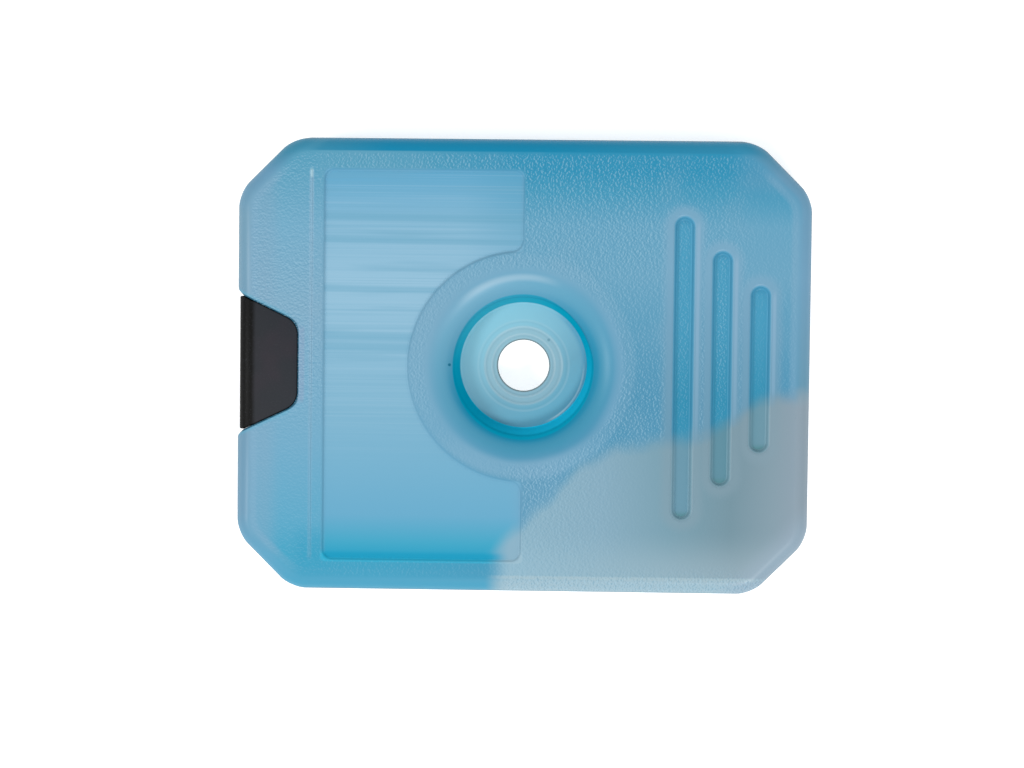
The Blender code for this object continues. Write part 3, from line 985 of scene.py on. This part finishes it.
def air_share(x, y, where):
    """1 where air lies behind the wall, below the line of the gel, and 0 where gel does."""
    start = AIR_LINE[0][0]
    reach = AIR_LINE[-1][0] - start
    stops = []
    for along, height in AIR_LINE:
        share = 1 + height / AIR_LINE_DEPTH
        stops.append(((along - start) / reach, (share, share, share, 1.0)))
    ramp = x.node("ShaderNodeValToRGB", {"stops": stops}, {"Fac": (x - start) / reach})
    gel_height = ramp * AIR_LINE_DEPTH - AIR_LINE_DEPTH
    wobble = where.noise(AIR_WAVES) * AIR_WAVE - AIR_WAVE / 2
    below_edge = (gel_height + wobble - y) / AIR_SOFTNESS
    right_of_end = (x - AIR_LEFT_END) / AIR_LEFT_SOFTNESS
    return below_edge.soft_least(right_of_end, AIR_CORNER).ease(-1, 1)


class BodyPlace:
    """A place on the body: its distances in millimetres, and what it belongs to, from 0 to 1."""

    def __init__(self, tree):
        self.where, (self.x, self.y, self.z) = millimetres(tree)
        x, y = self.x, self.y
        self.radius = (x * x + y * y).root()
        self.rim, self.chamfer = edge_distance(x, y)
        self.recess = recess_distance(x, y, self.radius)
        self.groove, self.groove_tips = groove_distance(x, y)
        self.notch = notch_distance(x, y)

        # The front half above the parting line, the recess in it, and what is behind the wall
        self.front = self.z.ease(20.0, 21.0)
        self.in_recess = self.recess.ease(-0.2, 0.4) * self.front
        self.air = air_share(x, y, self.where)
        self.gel = 1 - self.air

        # The rim along the top, between the cut corners
        self.top_band = y.ease(88, 92) * self.chamfer.ease(6, 14)


# Coats of the body. The numbers of a mask are the places in millimetres between which it
# eases in, or a line's middle, half its width and its softness. The factor at the end of a
# mask is the strength of the coat.
def face_paint(at):
    """Blue of the plain faces, paler to the left and in the middle, grey where air is."""
    mottle = at.where.noise(MOTTLES)
    gel = at.y.follow(FACE_LEFT).over(at.y.follow(FACE_RIGHT), at.x.ease(-75, 15))
    gel = gel.over(FACE_MOTTLE, mottle.ease(0.5, 0.8) * 0.35)
    air = at.x.follow(AIR_ALONG).over(at.x.follow(AIR_LOW_ALONG), at.y.ease(-70, -92))
    near_groove = at.groove.ease(7.0, 2.0) * at.front
    return gel.coats(
        (air, at.air),
        (FACE_LEFT_SIDE, at.x.ease(-105, -114) * at.gel * 0.35),
        (FACE_TOP_RIGHT, at.x.ease(86, 102) * at.y.ease(68, 84) * 0.5),
        (at.y.follow(BESIDE_GROOVES_GEL), near_groove * at.gel * 0.8),
        (BESIDE_GROOVES_AIR, near_groove * at.air * 0.5),
        (FACE_LOWER_LEFT, at.x.ease(-103, -96) * at.y.ease(-68, -80) * at.gel * 0.4),
    )


def recess_colour(at):
    """Colour of the label recess, pale in the middle, with faint streaks across it."""
    streaked = at.y.ease(-60, 0)
    fine = at.where.noise(FINE_STREAKS, 1.0)
    broad = at.where.noise(BROAD_STREAKS, 2.0)
    paint = at.y.follow(RECESS).coats(
        (RECESS_TOP_RIGHT, at.x.ease(-32, 0) * at.y.ease(25, 70) * 0.45),
        (STREAK_FINE_DARK, fine.ease(0.5, 0.75) * streaked * 0.24),
        (STREAK_FINE_PALE, fine.ease(0.48, 0.25) * streaked * 0.24),
        (STREAK_BROAD, broad.ease(0.5, 0.7) * streaked * 0.32),
    )
    across_streaks = at.y + at.x * STREAK_SLANT
    for middle, half_width in STREAKS:
        streak = across_streaks.line(middle, half_width, 1.8)
        paint = paint.over(STREAK_SINGLE, streak * 0.46)
    return paint.over(RECESS_AIR, at.air)


def paint_recess(paint, at):
    """The recess, with painted shade along its outline and its foot, and a painted highlight where
    its step shines along the lower edge.
    """
    outline = at.recess.line(0.3, 0.3, 1.3) * at.front
    low_step = at.recess.line(0.0, 0.6, 0.5) * at.y.ease(-81, -84) * at.front
    return paint.coats(
        (recess_colour(at), at.in_recess),
        (RECESS_OUTLINE_SHADE, outline * at.gel * 0.25),
        (RECESS_FOOT_SHADE, at.y.line(-84.4, 0.5, 2.4) * at.in_recess * at.gel),
        (RECESS_STEP_GEL, low_step * at.gel * 0.7),
        (RECESS_STEP_AIR, low_step * at.air * 0.5),
    )


def paint_grooves(paint, at):
    """The grooves, with painted shade at their ends, painted light on their walls, and a painted
    glint beside each.
    """
    grooves = at.y.follow(GROOVES_GEL).over(at.x.follow(GROOVES_AIR_ALONG), at.air)
    walls = at.groove.line(-0.5, 0.35, 0.8) * at.front
    paint = paint.coats(
        (grooves, at.groove.ease(0.5, -0.6) * at.front),
        (GROOVE_TIP_SHADE_GEL, at.groove_tips * at.gel * 0.5 * at.front),
        (GROOVE_TIP_SHADE_AIR, at.groove_tips * at.air * at.front * 0.8),
        (GROOVE_WALL_LIGHT_GEL, walls * at.gel * 0.5),
        (GROOVE_WALL_LIGHT_AIR, walls * at.air * 0.5),
    )
    strength = at.y.ease(-60, 40) * 0.45 + 0.15
    for middle, length in zip(GROOVE_X, GROOVE_LENGTH):
        end = mm(length) / 2
        beside = at.x.line(mm(middle + GROOVE_WIDTH / 2) + 1.7, 0.3, 0.8)
        beside = beside * abs(at.y).ease(end, end - 6) * at.front
        paint = paint.over(GROOVE_GLINT, beside * at.gel * strength)
    return paint


def paint_ridge(paint, at):
    """The raised ridge beside the recess, painted as a light line, a painted highlight that is
    brightest at its upper end.
    """
    ridge = at.x.line(mm(RIDGE_X), 0.5, 0.9) * abs(at.y).ease(87, 84) * at.front
    top = at.x.line(mm(RIDGE_X), 0.3, 0.6) * at.y.line(84.0, 1.0, 1.6) * at.front
    return paint.coats(
        (RIDGE_HIGHLIGHT, ridge * (at.y.ease(-80, 80) * 0.45 + 0.2)),
        (RIDGE_TOP_HIGHLIGHT, top * 0.55),
    )


def rim_colour(at):
    """Colour of the rounded edge: deep blue along the top, darkened there by painted shade, lilac
    at the sides, and painted light low down where air lies behind it.
    """
    top = at.y.ease(91.5, 94.5) * abs(at.x).ease(108, 96)
    low = at.air * at.y.ease(-91.5, -94.5)
    return at.y.follow(RIM_LEFT).coats(
        (at.y.follow(RIM_RIGHT), at.x.ease(-60, 60)),
        (at.x.follow(RIM_TOP_ALONG), top),
        (RIM_AIR, at.air),
        (RIM_AIR_RIGHT, at.air * at.x.ease(100, 119) * at.y.ease(-85, -60)),
        (RIM_AIR_LOW_LIT, low * at.x.ease(115, 104) * 0.7),
    )


def paint_rim(paint, at):
    """The rounded edge, and the painted highlights where it turns into the face."""
    rim = rim_colour(at)
    inner_highlight = at.rim.line(8.6, 0.4, 2.2) * at.y.ease(90, 80) * at.y.ease(-94, -80)
    lower_highlight = at.y.line(-92.8, 0.3, 0.9) * at.air
    return paint.coats(
        (rim, at.rim.ease(7.0, 6.3) * at.top_band),
        (rim, at.rim.ease(9.0, 4.5) * (1 - at.top_band)),
        (RIM_INNER_HIGHLIGHT, inner_highlight * at.gel * 0.4),
        (RIM_CUT_CORNER_AIR, at.chamfer.ease(16, 4) * at.air * 0.6),
        (RIM_LOWER_HIGHLIGHT_AIR, lower_highlight * at.x.ease(112, 98) * 0.6),
    )


def paint_around_well(paint, at):
    """Paler blue on the face round the well, below it and to its right."""
    ring = at.radius.line(45.5, 2.0, 4.0) * (1 - at.in_recess) * at.gel * at.front
    below = at.x.line(9, 6, 10) * at.y.ease(-36, -46)
    right = at.radius.line(42.5, 1.5, 2.5) * at.x.ease(28, 40)
    return paint.coats(
        (AROUND_WELL, ring * (at.y.ease(-25, -42) * 0.3 + 0.25)),
        (BELOW_WELL, below * at.gel * 0.4),
        (RIGHT_OF_WELL, right * at.front * 0.35),
    )


def well_floor(at, turn):
    """Colour of the stepped floor, with painted highlights and shade along its rings, and painted
    highlights along its edge.
    """
    floor = turn.follow(WELL_FLOOR_BY_TURN)
    floor = floor.over(WELL_STEPS, at.radius.ease(19.0, 16.0) * 0.5)
    for middle, strength in FLOOR_RINGS:
        inner = middle - FLOOR_RING_STEP
        floor = floor.over(STEP_HIGHLIGHT, at.radius.line(middle, 0.2, 0.5) * strength)
        floor = floor.over(STEP_SHADE, at.radius.line(inner, 0.2, 0.5) * strength)
    to_right = (at.x * 0.85 - at.y * 0.53).ease(21, 26.5)
    left_highlight = at.radius.line(27.3, 0.1, 0.5) * at.x.ease(-20, -27)
    return floor.coats(
        (HOLE_EDGE, at.radius.line(11.4, 0.3, 0.5)),
        (FLOOR_CRESCENT_HIGHLIGHT, at.radius.line(26.9, 0.15, 0.5) * to_right * 0.9),
        (FLOOR_LEFT_HIGHLIGHT, left_highlight * 0.3),
        (FLOOR_RIGHT, at.radius.ease(25.0, 27.5) * at.x.ease(12, 22) * 0.6),
    )


def paint_well(paint, at):
    """The funnel with its painted glint, lighter on the lit side and with painted shade on the
    other, the deep wall that glows, with painted light lower down, and the floor.
    """
    x, y, radius = at.x, at.y, at.radius
    turn = y * LIT_UP - x * LIT_LEFT
    side = turn / radius.most(1.0)
    above = (y - x * 0.2) / radius.most(1.0)
    glint = radius.line(39.3, 0.2, 2.1) * above.ease(0.8, 1.0)
    # Deep blue of the wall seen through the funnel, stronger away from the lit side as painted
    # shade
    deep = radius.ease(36.5, 31.2) * side.ease(0.95, -0.35) * (1 - x.ease(10, 30) * 0.35)
    # The wall below the lip is painted brighter, as painted light against the shade deep in the
    # well
    ring = side.follow(WELL_LIP_BY_SIDE).coats(
        (side.follow(WELL_WALL_BY_SIDE), at.z.ease(33.5, 29.0)),
        (WELL_WALL_LEFT, x.ease(-5, -25) * y.ease(15, 0) * 0.35),
    )
    edge = radius - y * y * 0.0009 + y * 0.008 + x.ease(5, 25) * y.ease(0, 15) * 0.8
    return paint.coats(
        (side.follow(FUNNEL_BY_SIDE), radius.ease(43.0, 36.0) * 0.85),
        (FUNNEL_GLINT, glint * 0.5),
        (FUNNEL_DEEP_BLUE_AND_SHADE, deep * 0.85),
        (ring, edge.ease(31.5, 30.8)),
        (well_floor(at, turn), (radius + y.ease(0, -28) * 0.6).ease(28.4, 28.0)),
    )


def paint_specks(paint, at):
    """Two dark specks in the plastic of the well."""
    for speck_x, speck_y in SPECKS:
        across = at.x - speck_x
        up = at.y - speck_y
        reach = (across * across + up * up).root()
        paint = paint.over(SPECK, reach.ease(0.9, 0.4) * at.front * 0.8)
    return paint


def paint_outlines(paint, at):
    """The darker outline of the pack, and round the notch its painted glow, a painted shadow in the
    gap and at its mouth, and a pale line.
    """
    outline = at.rim.ease(2.1, 0.8) * (at.z.ease(20, 30) * 0.4 + 0.5)
    return paint.coats(
        (RIM_OUTLINE, outline * (1 - at.top_band * 0.5)),
        (NOTCH_GLOW, at.notch.ease(2.4, 1.0) * at.x.ease(-101, -104) * 0.4),
        (NOTCH_GAP_SHADOW, at.notch.ease(0.9, 0.5) * 0.6),
        (NOTCH_RIM, at.notch.line(1.6, 0.8, 1.2) * abs(at.y).ease(18, 15) * 0.7),
        (NOTCH_MOUTH_SHADOW, at.notch.ease(0.8, 0.3) * at.x.ease(-127, -123) * 0.9),
    )


def pebbles(at):
    """Height of the pebbled grain, and how far each place on it faces the lamps."""
    inputs = {"Vector": at.where, "Angle": PEBBLE_TURN}
    tilted = at.where.node("ShaderNodeVectorRotate", {"rotation_type": "Z_AXIS"}, inputs)
    height = tilted.noise(PEBBLES, 1.0)
    facing = tilted.moved(PEBBLE_STEP).noise(PEBBLES, 1.0) - height
    ahead = at.where.moved(LEFT_PEBBLE_STEP).noise(LEFT_PEBBLES, 1.0)
    facing_left = ahead - at.where.noise(LEFT_PEBBLES, 1.0)
    at_left = at.x.ease(-80, -98)
    return height, facing * (1 - at_left) + facing_left * at_left


def grain_strength(at):
    """Where the pebbled grain lies, and how strong it is there."""
    x, y, air = at.x, at.y, at.air
    lower_rim = at.rim.ease(1.0, 2.0) * y.ease(-91.0, -93.5) * x.ease(-20, 0)
    spread = at.rim.ease(6.8, 8.6).most(lower_rim)
    groove_floor = at.groove.ease(-1.5, -2.5) * y.ease(-60, 20)
    smooth = at.groove.ease(4.5, 2.0) * (1 - groove_floor * 0.8)
    smooth = at.recess.ease(-0.8, 0.0).most(smooth)
    spread = spread * at.radius.ease(42.0, 45.5) * (1 - smooth * at.front)
    strength = at.where.noise(GRAIN_PATCHES).ease(0.3, 0.6) * 0.4 + 0.6
    strength = strength * (1 - air * x.ease(10, 60) * y.ease(-94, -84) * 0.9) * (1 - air * 0.4)
    strength = strength * (1 - x.ease(85, 105) * 0.7)
    strength = strength * (1 - x.ease(5, -20) * y.ease(0, -40) * 0.7)
    return spread * strength.most(air * y.ease(-90.5, -92.5))


def body_material():
    """Translucent blue plastic, painted for what lies behind the wall, gel or air, and with painted
    light and shade.
    """
    material, tree, shader = new_material(
        "translucent_blue_polyethylene", roughness=0.34, specular=0.0, coat_roughness=0.34
    )
    at = BodyPlace(tree)
    paint = face_paint(at)
    for painter in (
        paint_recess,
        paint_grooves,
        paint_ridge,
        paint_rim,
        paint_around_well,
        paint_well,
        paint_specks,
        paint_outlines,
    ):
        paint = painter(paint, at)

    height, facing = pebbles(at)
    grain = grain_strength(at)
    paint = paint.over(PEBBLE_LIT, facing.ease(0.0, 0.24) * grain * 0.45)
    paint = paint.over(PEBBLE_SHADED, facing.ease(0.0, -0.24) * grain * 0.38)
    paint.feed(shader, "Base Color")
    deep_wall = at.radius.ease(26.2, 27.2) * at.radius.ease(34.5, 32.5)
    ((1 - deep_wall) * 0.4).feed(shader, "Coat Weight")
    (height * grain).relief(distance=0.0003, strength=0.6).feed(shader, "Normal")
    return material


def cover_material():
    """Black plastic with a fine grain, with painted shade where the cover turns down."""
    material, tree, shader = new_material(
        "grained_black_plastic", roughness=0.5, specular=0.0, coat_roughness=0.5
    )
    where, (x, y, _) = millimetres(tree)
    patches = where.noise(COVER_PATCHES)
    grains = where.noise(COVER_GRAINS)
    paint = x.follow(COVER_ALONG).coats(
        (COVER_PATCH, patches.ease(0.5, 0.75) * x.ease(-120, -117) * 0.6),
        (COVER_GRAIN, grains.ease(0.55, 0.75) * 0.35),
    )
    paint.feed(shader, "Base Color")
    (notch_distance(x, y).ease(-0.3, -0.8) * 0.3).feed(shader, "Coat Weight")
    grains.relief(distance=0.0001, strength=0.5).feed(shader, "Normal")
    return material


def gel_material():
    material, tree, shader = new_material("clear_blue_gel", roughness=0.15, specular=0.5)
    where, (_, y, _) = millimetres(tree)
    cloud = where.noise(GEL_CLOUDS)
    y.follow(GEL).over(GEL_CLOUD, cloud.ease(0.5, 0.8)).feed(shader, "Base Color")
    return material


def plug_material():
    material, tree, shader = new_material("natural_polyethylene", roughness=0.45, specular=0.4)
    where, _ = millimetres(tree)
    where.noise(PLUG_GRAINS).follow(PLUG_BY_GRAIN).feed(shader, "Base Color")
    return material


# Room
ROOM_WHITE = (1.0, 1.0, 1.0, 1.0)
ROOM_LIGHT = 0.8
TABLE_HALF = 3.0
TABLE_GAP = 0.0002
TABLE_BASE = (0.9, 0.9, 0.9, 1.0)
# A painted shadow on the table under the cover
TABLE_SHADOW_UNDER_COVER = (0.05, 0.05, 0.05, 1.0)

# The table's glow beside the pack, and by the distance from the middle of the hole
TABLE_SEEN = (205, 205, 205)
TABLE_BY_RADIUS = ((0, (255, 255, 255)), (16, (255, 255, 255)), (22, (0, 20, 26)))

# Each lamp's name, place, width and power
LAMPS = (
    ("front_lamp", (0.32, -0.60, 1.10), 0.28, 6.0),
    ("left_lamp", (-0.75, -0.10, 0.95), 0.30, 4.0),
)

CAMERA_PLACE = (0.01865, 0.03728, 1.0351)
CAMERA_TURN = (-2.56, 1.367, 0.636)
CAMERA_LENS = 80.0
CAMERA_FILM = 36.0
CAMERA_NEAREST = 0.01


def soft_lamp(name, place_at, width, power):
    """A round soft lamp that points at the pack."""
    lamp = bpy.data.lights.new(name, "AREA")
    lamp.shape = "DISK"
    lamp.size = width
    lamp.energy = power
    stand = bpy.data.objects.new(name, lamp)
    stand.location = place_at
    stand.rotation_euler = (-stand.location).to_track_quat("-Z", "Y").to_euler()
    bpy.context.scene.collection.objects.link(stand)


def table_material():
    """White, glowing a little so that it shows as plain white, but not under the pack, and with a
    painted shadow on it under the cover.
    """
    material, tree, shader = new_material("white_table", roughness=0.6, specular=0.3)
    shader.inputs["Emission Strength"].default_value = 1.0
    _, (x, y, _) = millimetres(tree)
    radius = (x * x + y * y).root()
    rim = edge_distance(x, y)[0]
    # A painted shadow on the table under the cover
    shadow_under_cover = notch_distance(x, y).ease(1.5, 0.5) * rim.ease(1.2, 2.4)
    shadow_under_cover.blend(TABLE_BASE, TABLE_SHADOW_UNDER_COVER).feed(shader, "Base Color")
    glow = radius.follow(TABLE_BY_RADIUS).over(TABLE_SEEN, rim.ease(0.0, -1.3))
    glow.feed(shader, "Emission Color")
    return material


def white_room():
    """Even light from all sides, and a large table under the pack."""
    scene = bpy.context.scene
    scene.view_settings.view_transform = "Standard"
    world = bpy.data.worlds.new("white_room")
    scene.world = world
    world.use_nodes = True
    background = world.node_tree.nodes["Background"]
    background.inputs["Color"].default_value = ROOM_WHITE
    background.inputs["Strength"].default_value = ROOM_LIGHT

    bm = bmesh.new()
    bmesh.ops.create_grid(bm, x_segments=1, y_segments=1, size=TABLE_HALF)
    bmesh.ops.translate(bm, vec=(0.0, 0.0, -TABLE_GAP), verts=bm.verts)
    table = place("table", bm)
    table.data.materials.append(table_material())
    for name, place_at, width, power in LAMPS:
        soft_lamp(name, place_at, width, power)


def camera_above():
    """The camera that sees the pack as the photograph does."""
    camera = bpy.data.cameras.new("camera")
    camera.lens = CAMERA_LENS
    camera.sensor_width = CAMERA_FILM
    camera.clip_start = CAMERA_NEAREST
    stand = bpy.data.objects.new("camera", camera)
    stand.location = CAMERA_PLACE
    stand.rotation_euler = [math.radians(angle) for angle in CAMERA_TURN]
    bpy.context.scene.collection.objects.link(stand)
    bpy.context.scene.camera = stand


def give(obj, material):
    obj.data.materials.clear()
    obj.data.materials.append(material)


give(finish_piece(moulded_body(), "pack_shell"), body_material())
give(finish_piece(neck_cover(), "notch_cover"), cover_material())
give(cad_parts["gel_fill"], gel_material())
give(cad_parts["filler_plug"], plug_material())
white_room()
camera_above()

bpy.context.view_layer.update()
